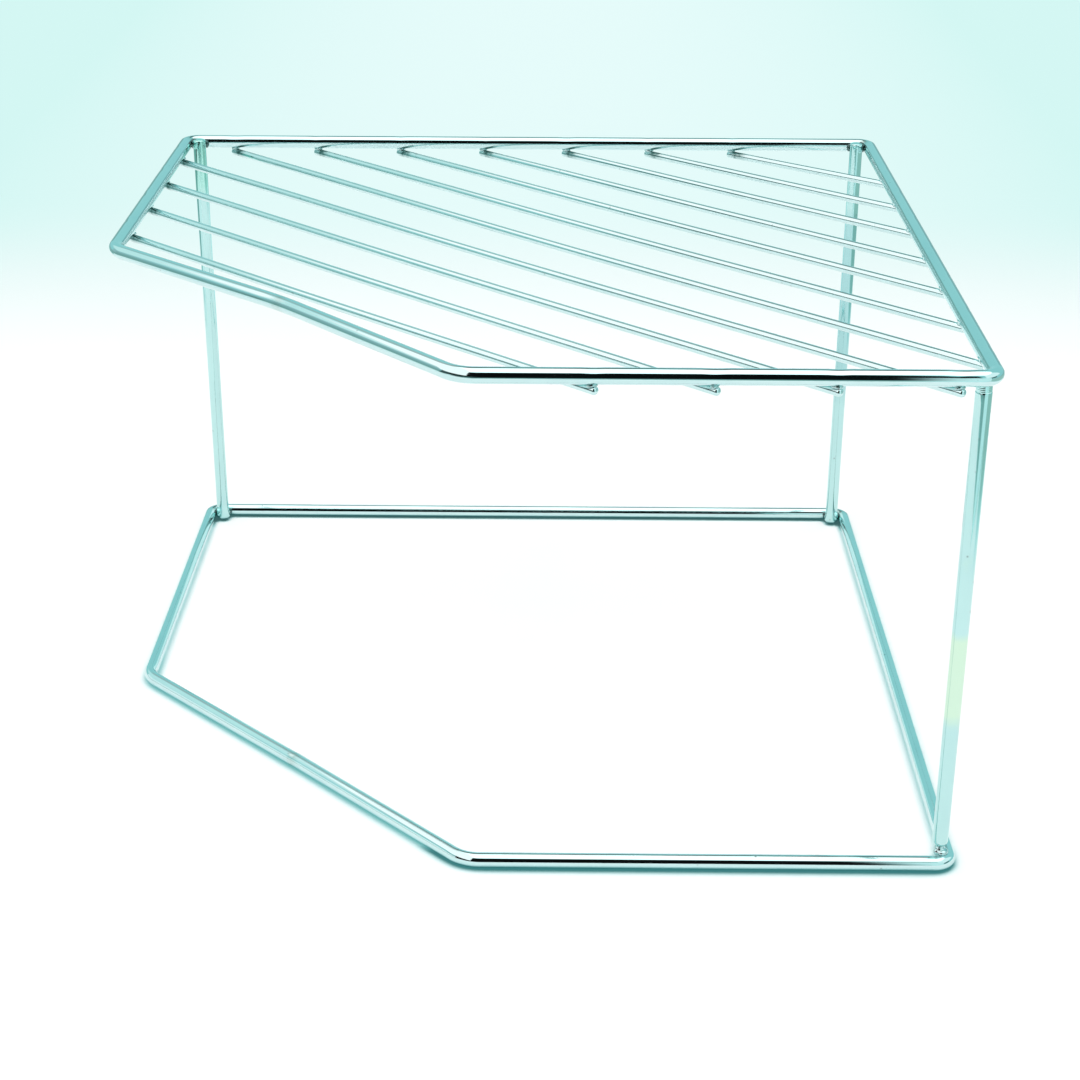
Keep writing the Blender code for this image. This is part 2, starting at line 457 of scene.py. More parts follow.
def weld_heat_and_shade_group() -> Tree:
    """Build the group that turns a piece's weld attribute into a ragged mask and its core, for weld tint and painted
    shade.

    Returns:
        The group's node tree.
    """
    outputs = {"Mask": "NodeSocketFloat", "Core": "NodeSocketFloat"}
    group = new_group("weld_heat_and_shade", {"Spread": ("NodeSocketFloat", 1.0)}, outputs)
    g = Graph(group)
    given = g.node("NodeGroupInput").outputs
    place = g.node("TexCoord").outputs["Object"]
    # The attribute marks welds, and also crevices and bar crossings where shade is painted.
    near = g.node("Attribute", attribute_name="weld_heat_and_shade", attribute_type="GEOMETRY").outputs["Fac"]
    ragged = g.node("TexNoise", {"Vector": place, "Scale": 700.0, "Detail": 3.0}).outputs["Fac"]
    uneven = g.plus(near, g.times(g.minus(ragged, 0.5), 0.5))
    mask = g.times(g.times(uneven, near), given["Spread"], clamp=True)
    g.node("NodeGroupOutput", {"Mask": mask, "Core": g.ramp(uneven, 0.5, 0.8)})
    return group


@dataclass(frozen=True)
class PlatedFinish:
    """Bright plating on steel wire.

    Attributes:
        name: Name of the material.
        colour: Linear colour of clean plating.
        film_colour: Linear colour where a thin film clouds it.
        heat_and_shade_colour: Linear colour beside a weld mark: heat tint, and painted shade where a mark stands in a
            crevice or under a bar.
        roughness: Roughness of clean plating.
        film_roughness: Extra roughness under the film.
        ripple: Strength of the slow ripple.
        pits: Strength of the fine pits.
        heat_and_shade: Strength of the weld tint and of the painted shade that goes with it.
        burnt_and_shade_colour: Linear colour close to a weld mark: burnt metal, and the deepest painted shade in
            crevices and under bars.
        bloom: Strength of the band of colour where a piece's own attribute marks it: painted shade on the back legs, a
            yellow-green tint on the front leg.
        bloom_colour: Linear colour of that band.
    """

    name: str
    colour: Triple
    film_colour: Triple
    heat_and_shade_colour: Triple = (0.36, 0.42, 0.34)
    roughness: float = 0.035
    film_roughness: float = 0.05
    ripple: float = 1.0
    pits: float = 1.0
    heat_and_shade: float = 1.0
    burnt_and_shade_colour: Triple = (0.07, 0.11, 0.105)
    bloom: float = 0.0
    bloom_colour: Triple = (0.66, 0.84, 0.66)

    def build(self, skin: Tree, heat_and_shade: Tree) -> bpy.types.Material:
        """Make the material.

        Args:
            skin: The plating skin group.
            heat_and_shade: The group of weld tint and painted shade.

        Returns:
            The new material.
        """
        material = bpy.data.materials.new(self.name)
        material.use_nodes = True
        g = Graph(material.node_tree)
        skinned = g.node("Group", node_tree=skin)
        skinned.inputs["Ripple"].default_value = self.ripple
        skinned.inputs["Pits"].default_value = self.pits
        heat_and_shade_node = g.node("Group", node_tree=heat_and_shade)
        heat_and_shade_node.inputs["Spread"].default_value = self.heat_and_shade
        film, pit = skinned.outputs["Film"], skinned.outputs["Pit"]
        mask, core = heat_and_shade_node.outputs["Mask"], heat_and_shade_node.outputs["Core"]
        cloud = g.times(g.minus(film, 0.42), 3.0, clamp=True)
        colour = g.blend(cloud, (*self.colour, 1), (*self.film_colour, 1))
        # Weld tint, with painted shade where a mark sits in a crevice or where a shelf wire runs under a bar.
        colour = g.blend(mask, colour, (*self.heat_and_shade_colour, 1))
        colour = g.blend(g.times(core, 0.85), colour, (*self.burnt_and_shade_colour, 1))
        if self.bloom:
            # A band marked by the piece's own attribute: painted shade on the back legs, a yellow-green tint on the
            # front leg.
            near = g.node("Attribute", attribute_name="bloom", attribute_type="GEOMETRY").outputs["Fac"]
            patchy = g.plus(near, g.times(g.minus(film, 0.5), 1.6))
            colour = g.blend(g.times(g.ramp(patchy, 0.2, 0.7), self.bloom), colour, (*self.bloom_colour, 1))
        colour = g.blend(g.times(pit, 0.6), colour, (0.1, 0.13, 0.13, 1))
        rough = g.plus(self.roughness, g.times(cloud, self.film_roughness))
        rough = g.plus(rough, g.times(mask, 0.22))
        rough = g.plus(rough, g.times(pit, 0.2))
        bump = g.node("Bump", {"Strength": 1.0, "Distance": 0.000012, "Height": skinned.outputs["Height"]})
        surface = g.node(
            "BsdfPrincipled",
            {"Base Color": colour, "Metallic": 1.0, "Roughness": rough, "Normal": bump.outputs["Normal"]},
        )
        g.node("OutputMaterial", {"Surface": surface.outputs["BSDF"]})
        return material


class Finishes:
    """All the finishes of the rack, built once."""

    def __init__(self) -> None:
        """Build the node groups and the materials."""
        skin, heat_and_shade = plating_skin_group(), weld_heat_and_shade_group()
        ring = PlatedFinish("ring_plating", (0.60, 0.80, 0.80), (0.55, 0.76, 0.77), ripple=0.3, roughness=0.06)
        self.ring = ring.build(skin, heat_and_shade)
        leg = PlatedFinish("leg_plating", (0.52, 0.78, 0.765), (0.48, 0.74, 0.735), ripple=0.6, roughness=0.05)
        leg = replace(leg, bloom=0.85)
        # The back legs' darker teal band colours are painted shade; the front leg's is a yellow-green tint.
        tints_and_shades = ((0.43, 0.78, 0.70), (0.37, 0.64, 0.65), (0.65, 0.85, 0.66))
        self.leg = {
            place: replace(leg, name=f"{leg.name}_{place.value}", bloom_colour=tint).build(skin, heat_and_shade)
            for place, tint in zip(LegPlace, tints_and_shades)
        }
        shelf = PlatedFinish("shelf_wire_plating", (0.62, 0.81, 0.81), (0.57, 0.77, 0.77), ripple=0.4, roughness=0.05)
        # The shelf wire's dark tint colours are painted shade and reflection of the bar above it.
        shelf = replace(shelf, heat_and_shade_colour=(0.16, 0.28, 0.26), burnt_and_shade_colour=(0.05, 0.15, 0.135))
        self.shelf = shelf.build(skin, heat_and_shade)
        weld = PlatedFinish("weld_plating", (0.50, 0.68, 0.68), (0.42, 0.58, 0.58), roughness=0.11, film_roughness=0.08)
        # Its dark colour near marks is burnt metal with painted shade in the back crevices.
        self.weld = replace(weld, ripple=1.5, heat_and_shade=0.5, burnt_and_shade_colour=(0.03, 0.08, 0.08)).build(skin, heat_and_shade)


# --- The rack ---


@dataclass
class Workshop:
    """What every sub-assembly needs: the finishes, the places of the welds and of the painted shade beside them, and
    the list of pieces made.
    """

    finishes: Finishes
    welds: list[Vector] = field(default_factory=list)
    seats: list[Vector] = field(default_factory=list)
    pieces: list[Piece] = field(default_factory=list)
    bead_half: float = 0.001  # half the height of the bead at an end of the front leg
    groove: float = 0.0022  # from the middle of a back leg to the groove beside it

    def weld_middle(self, place: LegPlace, level: Level, side: float = 1) -> Vector:
        """Give the middle of the weld that holds one end of a leg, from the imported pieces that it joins.

        Args:
            place: The corner that the leg stands in.
            level: The ring that it is welded to.
            side: Which groove of a back leg is meant: 1 toward the middle of the back, -1 toward the corner.

        Returns:
            The middle of the weld.
        """
        low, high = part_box(f"leg_{place.value}")
        middle = (low + high) / 2
        if place is LegPlace.FRONT_RIGHT:
            height = low.z - self.bead_half if level is Level.LOWER else high.z + self.bead_half
            return Vector((middle.x, middle.y, height))
        return Vector((middle.x + side * math.copysign(self.groove, -middle.x), high.y, self.level_of(level)))

    def level_of(self, level: Level) -> float:
        """Give the height of a ring's centre line, as packed."""
        low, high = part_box(f"{level.value}_ring")
        return (low.z + high.z) / 2

    def deliver(
        self,
        piece: Piece,
        finish: bpy.types.Material,
        slot: str,
        *nodes: str,
        marks: list[Vector] | None = None,
        reach: float = 0.0045,
    ) -> None:
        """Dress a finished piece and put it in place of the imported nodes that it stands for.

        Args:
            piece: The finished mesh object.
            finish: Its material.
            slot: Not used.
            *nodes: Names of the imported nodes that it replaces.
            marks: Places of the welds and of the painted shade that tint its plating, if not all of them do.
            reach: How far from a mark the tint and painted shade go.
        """
        piece.data.materials.clear()
        piece.data.materials.append(finish)
        self.mark_heat_and_shade(piece, self.welds if marks is None else marks, reach)
        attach(piece, "root")
        if nodes:
            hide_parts(*nodes)
        self.pieces.append(piece)
        LOG.info("%s: %d faces", piece.name, len(piece.data.polygons))

    def mark_heat_and_shade(self, piece: Piece, marks: list[Vector], reach: float) -> None:
        """Store on each point how near it is to a weld mark, from 0 out of reach to 1; weld tint and painted shade
        follow it.

        Args:
            piece: The piece.
            marks: Places of the welds, and of the crevices and crossings where shade is painted.
            reach: How far the tint and painted shade go.
        """
        heat_and_shade = piece.data.attributes.new("weld_heat_and_shade", "FLOAT", "POINT")
        for point, value in zip(piece.data.vertices, heat_and_shade.data):
            nearest = min(((point.co - mark).length for mark in marks), default=reach)
            value.value = max(0.0, 1 - nearest / reach)


@dataclass
class BentRing:
    """A five-sided ring bent from one wire and butt welded in the middle of its diagonal.

    Attributes:
        level: Which ring it is.
        weld_pull: How far the weld has drawn the diagonal inwards.
        weld_step: Sideways step between the two wire ends at the weld.
        weld_length: Length of each half of the weld's soft kink.
        weld_swell: Share by which the wire is wider in the middle of the weld.
        square_bend: Centre line radius of the square corners.
        blunt_bend: Centre line radius at both ends of the diagonal.
        thinning: Share of its width that the wire loses in a square bend.
        facets: Number of sides of the wire's section.
        facet_length: Length that its facets come close to.
        seat_depth: Depth of the flats that the welding electrode leaves over the shelf wires.
        seat_radius: Half the width of such a flat.
        seat_reach: How far round its rim the metal gives way.
    """

    level: Level
    weld_pull: float
    weld_step: float
    weld_length: float = 0.003
    weld_swell: float = 0.05
    square_bend: float = 0.0045
    blunt_bend: float = 0.011
    thinning: float = 0.035
    facets: int = 48
    facet_length: float = 0.0012
    seat_depth: float = 0.00008
    seat_radius: float = 0.0016
    seat_reach: float = 0.0026

    def corners(self, height: float) -> list[tuple[Vector, float, int]]:
        """List the corners, clockwise from the left end of the diagonal.

        Args:
            height: Height of the ring's centre line.

        Returns:
            Place, bend radius and number of stations of each corner.
        """
        blunt, square = (self.blunt_bend, 10), (self.square_bend, 14)
        bends = (blunt, square, square, square, blunt)
        return [(corner, *bend) for corner, bend in zip(ring_corners(height), bends)]

    def weld_place(self, height: float) -> tuple[Vector, Vector]:
        """Find the butt weld.

        Args:
            height: Height of the ring's centre line.

        Returns:
            The middle of the weld and the level direction into the ring there.
        """
        corners = self.corners(height)
        chord = (corners[0][0] - corners[-1][0]).normalized()
        inward = Vector((chord.y, -chord.x, 0))
        return (corners[0][0] + corners[-1][0]) / 2 + inward * self.weld_pull, inward

    def build(self, shop: Workshop) -> None:
        """Bend the wire, swell its weld and dress it.

        Args:
            shop: The workshop that takes the finished ring.
        """
        height = shop.level_of(self.level)
        corners = self.corners(height)
        weld, inward = self.weld_place(height)
        step = inward * self.weld_step / 2
        chord = (corners[0][0] - corners[-1][0]).normalized()
        kink = chord.angle(corners[0][0] - weld + step)
        apex = weld - step - inward * (self.weld_length / kink) * (1 / math.cos(kink) - 1)
        run = WireRun(f"{self.level.value}_ring_wire", FRAME_WIRE, self.facets, apex + chord * self.facet_length, chord)
        self.draw_weld(run, kink, leaving=True)
        targets = [corner for corner, _, _ in corners[1:]] + [weld + step]
        for (corner, radius, stations), target in zip(corners, targets):
            leaving = (target - corner).normalized()
            turn = run.heading.angle(leaving)
            tangent = radius * math.tan(turn / 2)
            run.straight(corner - run.heading * tangent - run.place)
            run.bend(turn, radius, stations, self.thinning * math.sin(turn))
        kink = chord.angle(weld + step - corners[-1][0])
        run.straight(weld + step - run.heading * (self.weld_length / kink) * math.tan(kink) - run.place)
        self.draw_weld(run, kink, leaving=False)
        ring = run.finish(closed=True)
        divide_long_edges(ring, self.facet_length)
        if self.level is Level.UPPER:
            for seat in shop.seats:
                self.press_seat(ring, Vector((seat.x, seat.y, height)))
        smooth(ring)
        shop.deliver(ring, shop.finishes.ring, "ring_chrome", f"{self.level.value}_ring")

    def draw_weld(self, run: WireRun, kink: float, leaving: bool) -> None:
        """Draw one half of the weld, slightly swollen and bent to the left.

        Args:
            run: The wire as drawn so far.
            kink: Angle that this half turns through.
            leaving: Whether the wire leaves the middle of the weld, or comes to it.
        """
        stations = 8
        if leaving:
            run.widen(1 + self.weld_swell)
        for station in range(1, stations + 1):
            run.bend(-kink / stations, -self.weld_length / kink, 1)
            away = station / stations if leaving else 1 - station / stations
            run.widen(1 + self.weld_swell * math.cos(math.pi / 2 * away) ** 2)

    def press_seat(self, ring: Piece, seat: Vector) -> None:
        """Press the shallow flat that the upper electrode leaves on the bar over a welded shelf wire.

        Args:
            ring: The ring's object.
            seat: Place on the bar's centre line over the wire.
        """
        with editing(ring):
            if select(ring, lambda co: (co - seat).xy.length < self.seat_radius and co.z > seat.z + 0.0019):
                bpy.ops.transform.translate(value=(0, 0, -self.seat_depth), **softly(self.seat_reach))


@dataclass
class Leg:
    """An upright leg of straight wire with domed ends.

    Attributes:
        place: The corner that it stands in.
        bloom_height: Height of the tinted stretch of its plating: painted shade on a back leg, a yellow-green tint on
            the front one.
        bloom_reach: Half the length of that stretch.
        foot_tip: Radius that its lower end is rounded to.
        head_tip: The same at its upper end.
        foot_spread: How much wider the pressed foot of a back leg is than the wire.
        foot_height: Height of that foot.
        foot_flat: Height of its evenly pressed lower end.
        facets: Number of sides of the wire's section.
        stations: Number of cuts along it.
    """

    place: LegPlace
    bloom_height: float
    bloom_reach: float
    foot_tip: float = 0.0021
    head_tip: float = 0.0006
    foot_spread: float = 1.22
    foot_height: float = 0.005
    foot_flat: float = 0.0012
    facets: int = 48
    stations: int = 60

    def build(self, shop: Workshop) -> None:
        """Cut the leg to length, round and press its ends and dress it.

        Args:
            shop: The workshop that takes the finished leg.
        """
        node = f"leg_{self.place.value}"
        low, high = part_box(node)
        middle = (low + high) / 2
        start, end = Vector((middle.x, middle.y, low.z)), Vector((middle.x, middle.y, high.z))
        tips = (self.foot_tip, self.head_tip)
        leg = round_rod(f"{node}_wire", start, end, FRAME_WIRE, self.facets, tips, 10)
        with editing(leg):
            select(leg, lambda a, b: abs(a.z - b.z) > 0.05, edges=True)
            bpy.ops.mesh.subdivide(number_cuts=self.stations)
        if self.place is not LegPlace.FRONT_RIGHT:
            self.press_foot(leg, start)
        smooth(leg)
        # A band of colour along the leg: painted shade on a back leg, a yellow-green tint on the front one.
        bloom = leg.data.attributes.new("bloom", "FLOAT", "POINT")
        for point, value in zip(leg.data.vertices, bloom.data):
            value.value = min(1.0, max(0.0, 2 - 2 * abs(point.co.z - self.bloom_height) / self.bloom_reach))
        shop.deliver(leg, shop.finishes.leg[self.place], "leg_chrome", node)

    def press_foot(self, leg: Piece, foot: Vector) -> None:
        """Spread the foot sideways where the welding jaws pressed it.

        Args:
            leg: The leg's object.
            foot: Middle of the leg's lower end.
        """
        with editing(leg):
            select(leg, lambda co: co.z < foot.z + self.foot_flat)
            bpy.ops.transform.resize(
                value=(self.foot_spread, 1, 1), center_override=foot, **softly(self.foot_height)
            )


@dataclass
class ShelfLayout:
    """Where the shelf wires cross the bars of the upper ring.

    Each bar's wires lie evenly spaced between a first and a last one, at shares of the bar's length from its left or
    front corner.

    Attributes:
        left: Shares of the left bar.
        front: Shares of the front bar.
        back: Shares of the back bar.
        right: Shares of the right bar.
        short_count: Number of wires from the left bar to the front bar.
        long_count: Number of wires from the back bar to the right bar.
    """

    left: tuple[float, float] = (0.193, 0.886)
    front: tuple[float, float] = (0.25, 0.93)
    back: tuple[float, float] = (0.07, 0.8)
    right: tuple[float, float] = (0.081, 0.834)
    short_count: int = 4
    long_count: int = 7

    @staticmethod
    def spaced(start: Vector, end: Vector, shares: tuple[float, float], count: int) -> list[Vector]:
        """List evenly spaced places on a bar that runs from start to end, between two shares of its length."""
        first, last = shares
        return [start.lerp(end, first + (last - first) * index / (count - 1)) for index in range(count)]

    def crossings(self, height: float) -> list[tuple[Vector, Vector]]:
        """List each wire's two crossings, from the diagonal to the back right corner.

        Args:
            height: Height of the wires' centre lines.

        Returns:
            Pairs of places, on the left or back bar first.
        """
        left_end, back_left, back_right, front_right, front_end = ring_corners(height)
        short = zip(
            self.spaced(left_end, back_left, self.left, self.short_count),
            self.spaced(front_end, front_right, self.front, self.short_count),
        )
        long = zip(
            self.spaced(back_left, back_right, self.back, self.long_count),
            self.spaced(front_right, back_right, self.right, self.long_count),
        )
        return [*short, *long]


@dataclass
class ShelfWire:
    """One straight wire of the shelf, with sheared and rounded ends.

    Attributes:
        number: Its number, from the diagonal to the back right corner.
        start: Its crossing with the left or back bar.
        end: Its crossing with the front or right bar.
        overhang: How far it runs on past each crossing.
        tip: Radius of its rounded ends.
        sag: How far a wire of full length has sagged in its middle.
        full_length: That full length.
        facets: Number of sides of its section.
    """

    number: int
    start: Vector
    end: Vector
    overhang: float = 0.0017
    tip: float = 0.0011
    sag: float = 0.0008
    full_length: float = 0.33
    facets: int = 32

    def build(self, shop: Workshop) -> None:
        """Cut the wire to length, round its ends, let it sag and dress it.

        Args:
            shop: The workshop that takes the finished wire.
        """
        along = self.end - self.start
        past = along.normalized() * self.overhang
        node = f"shelf_wire_{self.number:02d}"
        tips = (self.tip, self.tip)
        wire = round_rod(f"{node}_drawn", self.start - past, self.end + past, SHELF_WIRE, self.facets, tips, 5)
        divide_long_edges(wire, 0.003)
        middle = (self.start + self.end) / 2
        with editing(wire):
            select(wire, lambda co: (co - middle).length < 0.004)
            drop = self.sag * (along.length / self.full_length) ** 2
            bpy.ops.transform.translate(value=(0, 0, -drop), **softly(along.length / 2))
        smooth(wire)
        # The dark tint near the start is painted shade and reflection where the wire runs under the left or back bar.
        mark = self.start + along.normalized() * 0.0033 + UP * SHELF_WIRE / 2
        shop.deliver(wire, shop.finishes.shelf, "shelf_wire_chrome", node, marks=[mark], reach=0.006)


@dataclass
class WeldMetal:
    """A lump of weld metal that has run together from round drops.

    Attributes:
        name: Name of the piece.
        drops: Middle and radii of each drop.
        grain: Size of the grid that the drops are melted together on.
        roughness: Height of the lump's unevenness.
    """

    name: str
    drops: list[tuple[Vector, Triple]]
    grain: float = 0.00013
    roughness: float = 0.0001

    def cast(self) -> Piece:
        """Melt the drops into one closed lump.

        Returns:
            The lump's object.
        """
        parts = []
        for place, radii in self.drops:
            bpy.ops.mesh.primitive_ico_sphere_add(subdivisions=4, radius=1, location=place, scale=radii)
            parts.append(bpy.context.object)
            settle(parts[-1])
        lump = join(self.name, parts)
        use_modifier(lump, "REMESH", mode="VOXEL", voxel_size=self.grain, use_smooth_shade=True)
        use_modifier(lump, "SMOOTH", factor=0.5, iterations=6)
        clouds = bpy.data.textures.new(self.name, "CLOUDS")
        clouds.noise_scale, clouds.noise_depth = 0.0009, 1
        use_modifier(lump, "DISPLACE", texture=clouds, texture_coords="GLOBAL", strength=self.roughness, mid_level=0.5)
        smooth(lump, 80)
        return lump


@dataclass
class LegWelds:
    """The weld metal at both ends of one leg.

    Attributes:
        place: The corner of the leg.
        heat_and_shade_reach: How far the dark tint spreads over the metal: burnt metal with painted crevice shade.
    """

    place: LegPlace
    heat_and_shade_reach: float = 0.009

    def drops(self, bead: Vector, level: Level) -> list[tuple[Vector, Triple]]:
        """List the drops of one weld.

        Args:
            bead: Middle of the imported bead.
            level: The ring that the leg is welded to.

        Returns:
            Middle and radii of each drop.
        """
        if self.place is LegPlace.FRONT_RIGHT and level is Level.UPPER:
            return [(bead + UP * 0.0005 * step, (0.00222, 0.00222, 0.0009)) for step in range(-2, 3)]
        if self.place is LegPlace.FRONT_RIGHT:
            return [
                (bead, (0.0016, 0.0016, 0.0015)),
                (bead + Vector((0.0006, -0.0006, -0.0005)), (0.0019, 0.0019, 0.0010)),
                (bead + Vector((-0.0010, -0.0009, -0.0005)), (0.0009, 0.0008, 0.0008)),
            ]
        out = -1 if self.place is LegPlace.BACK_LEFT else 1
        lift = 0.0004 if level is Level.LOWER else -0.0004
        drops = [
            (bead + Vector((0, 0.0001, lift)), (0.0009, 0.0009, 0.0014)),
            (bead + Vector((out * 0.0043, -0.0006, lift)), (0.0013, 0.0013, 0.0017)),
            (bead + Vector((out * 0.0022, 0.0006, lift)), (0.0022, 0.0007, 0.0012)),
        ]
        # At the upper ring an extra drop fills the crevice toward the corner; its dark tint is painted shade.
        if level is Level.UPPER:
            drops.append((bead + Vector((out * 0.0040, -0.0018, 0.00095)), (0.0013, 0.0014, 0.0011)))
        return drops

    def build(self, shop: Workshop) -> None:
        """Cast both welds and dress them.

        Args:
            shop: The workshop that takes them.
        """
        for level in Level:
            node = f"weld_{self.place.value}_{level.value}"
            drops = self.drops(shop.weld_middle(self.place, level), level)
            flush = self.place is LegPlace.FRONT_RIGHT and level is Level.UPPER
            lump = WeldMetal(f"{node}_metal", drops, roughness=0.00002 if flush else 0.0001).cast()
            finish = shop.finishes.leg[self.place] if flush else shop.finishes.weld
            # Back welds are darkened near these marks: burnt metal, and painted shade in the crevices toward the
            # corner.
            burnt_and_shaded = self.place is not LegPlace.FRONT_RIGHT
            marks = [shop.weld_middle(self.place, level, side) for side in (1, -1, -1.9)] if burnt_and_shaded else []
            if burnt_and_shaded and level is Level.UPPER:
                marks.append(drops[-1][0])
            shop.deliver(lump, finish, "weld_chrome", node, marks=marks, reach=self.heat_and_shade_reach)


@dataclass
class ShelfWelds:
    """The small flattened nuggets between the shelf wires and the ring.

    Attributes:
        crossings: Pairs of crossings, one pair for each wire.
        height: Height halfway between the top of the wires and the underside of the ring.
    """

    crossings: list[tuple[Vector, Vector]]
    height: float

    def build(self, shop: Workshop) -> None:
        """Cast one nugget, copy it to each crossing and dress the nuggets of each wire as one piece.

        Args:
            shop: The workshop that takes them.
        """
        drops = [
            (Vector((0, 0, 0)), (0.0015, 0.0012, 0.0007)),
            (Vector((0.0008, 0.0003, -0.0001)), (0.0009, 0.0008, 0.0005)),
            (Vector((-0.0007, -0.0004, 0.0001)), (0.0009, 0.0007, 0.0005)),
        ]
        model = WeldMetal("nugget_model", drops, roughness=0.00012).cast()
        for number, ends in enumerate(self.crossings, 1):
            copies = []
            for index, place in enumerate(ends):
                pick_only(model)
                bpy.ops.object.duplicate(linked=False)
                copy = bpy.context.object
                copy.location = (place.x, place.y, self.height)
                copy.rotation_euler.z = math.radians(-45 + 37 * (number % 3) - 160 * index)
                settle(copy)
                copies.append(copy)
            pair = join(f"shelf_wire_{number:02d}_welds", copies)
            shop.deliver(pair, shop.finishes.weld, "weld_chrome", marks=[])
        bpy.data.objects.remove(model, do_unlink=True)


# --- Studio ---


@dataclass(frozen=True)
class Patch:
    """A soft-edged patch of the painted room, with its places in degrees.

    Attributes:
        colour: Its linear colour.
        turn: Direction of its middle, clockwise from the back.
        reach: Half its width.
        low: Height of its lower edge over the horizon.
        high: Height of its upper edge.
        blur: Half the width of its soft edges.
    """

    colour: Triple
    turn: float
    reach: float
    low: float
    high: float
    blur: float = 3.0


PATCHES = (  # colour, turn, reach, low, high and blur
    Patch((0.75, 0.98, 0.97), -62, 22, 18, 80, 6),
    Patch((0.40, 0.60, 0.61), -73, 13, -30, 19, 4),
    Patch((0.29, 0.46, 0.46), -86, 9, -5, 10, 6),
    Patch((0.06, 0.10, 0.10), -116, 22, -5, 18, 2),
    Patch((0.23, 0.45, 0.43), -19, 5, -2, 8, 2),
    Patch((0.25, 0.47, 0.48), 19, 5, -2, 8, 2),
    Patch((0.48, 0.55, 0.54), -22, 12, 34, 80, 2),
    Patch((0.05, 0.055, 0.05), 4, 14, 34, 80, 1.5),
    Patch((1.00, 1.12, 1.12), 112, 40, 18, 62, 4),
    Patch((0.05, 0.09, 0.09), 128, 30, 6, 16, 2),
    Patch((0.003, 0.004, 0.004), 203.5, 39, -30, 54, 2),
)


@dataclass(frozen=True)
class Card:
    """An upright card that only the metal sees.

    Attributes:
        name: Name of the card.
        colour: Its own brightness.
        start: Where one end stands.
        end: Where the other end stands.
        low: Height of its lower edge.
        high: Height of its upper edge.
        axis: Direction in which it fades in.
        clear: How far along that it begins to show.
        full: How far along that it shows in full.
    """

    name: str
    colour: Triple
    start: tuple[float, float]
    end: tuple[float, float]
    low: float = 0.012
    high: float = 0.085
    axis: Triple = (0, 0, 1)
    clear: float = -1
    full: float = 0

    def stand(self) -> None:
        """Make the card and its material."""
        outline = ((self.start, self.low), (self.end, self.low), (self.end, self.high), (self.start, self.high))
        mesh = bpy.data.meshes.new(self.name)
        mesh.from_pydata([(*place, height) for place, height in outline], [], [(0, 1, 2, 3)])
        card = bpy.data.objects.new(self.name, mesh)
        bpy.context.scene.collection.objects.link(card)
        card.visible_camera = card.visible_diffuse = card.visible_shadow = False
        material = bpy.data.materials.new(self.name)
        material.use_nodes = True
        g = Graph(material.node_tree)
        along = g.node("VectorMath", {0: g.node("TexCoord").outputs["Object"], 1: self.axis}, operation="DOT_PRODUCT")
        share = g.ramp(along.outputs["Value"], self.clear, self.full)
        shown = g.node("Emission", {"Color": (*self.colour, 1), "Strength": 1.0}).outputs[0]
        mixed = g.node("MixShader", {0: share, 1: g.node("BsdfTransparent").outputs[0], 2: shown})
        g.node("OutputMaterial", {"Surface": mixed.outputs[0]})
        mesh.materials.append(material)


FRONT_FADE = {"axis": (1, 0, 0), "clear": 0.135, "full": 0.165}
WALL_FADE = {"axis": (0, -0.9, 1), "clear": 0.355, "full": 0.45}
CARDS = (
    Card("back_card", (0.80, 1.03, 1.03), start=(-0.1, 0.25), end=(0.1, 0.25)),
    Card("left_card", (1.0, 1.08, 1.08), start=(-0.32, -0.30), end=(-0.32, 0.10)),
    Card("front_card", (0.80, 1.02, 1.02), start=(0.10, -0.35), end=(0.42, -0.35), low=0, high=0.24, **FRONT_FADE),
    Card("left_wall", (1.42, 1.30, 1.30), start=(-0.6, -1.4), end=(-0.6, 0.9), low=0.31, high=2.4, **WALL_FADE),
)


